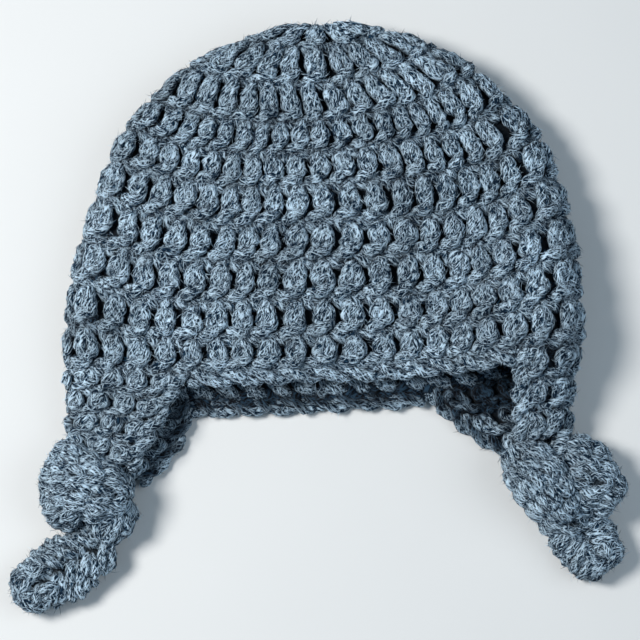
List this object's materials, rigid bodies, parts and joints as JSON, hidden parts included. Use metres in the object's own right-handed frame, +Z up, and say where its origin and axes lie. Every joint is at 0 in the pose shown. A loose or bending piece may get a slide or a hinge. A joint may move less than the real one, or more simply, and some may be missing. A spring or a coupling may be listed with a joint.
{
  "type": "crocheted earflap hat",
  "caption": "Small crocheted dome hat with two ear flaps, each ending in a knotted strap, lying flat on its back with the mouth slightly open.",
  "frame": {"origin": "centre of the bounding box on the plane the hat rests on", "axes": "+Z up from the resting plane, +Y towards the crown, -Y towards the mouth and the flaps, +X to the right as the hat is seen from above with its flaps towards the viewer"},
  "size_m": [0.177, 0.1765, 0.0266],
  "materials": {
    "yarn": "matte, fuzzy heathered blue-grey yarn"
  },
  "bodies": {
    "root": {"cap": "yarn", "front_edging": "yarn", "back_edging": "yarn", "left_ear_flap": "yarn", "right_ear_flap": "yarn", "left_knot": "yarn", "right_knot": "yarn", "left_strap_end": "yarn", "right_strap_end": "yarn"}
  },
  "joints": []
}
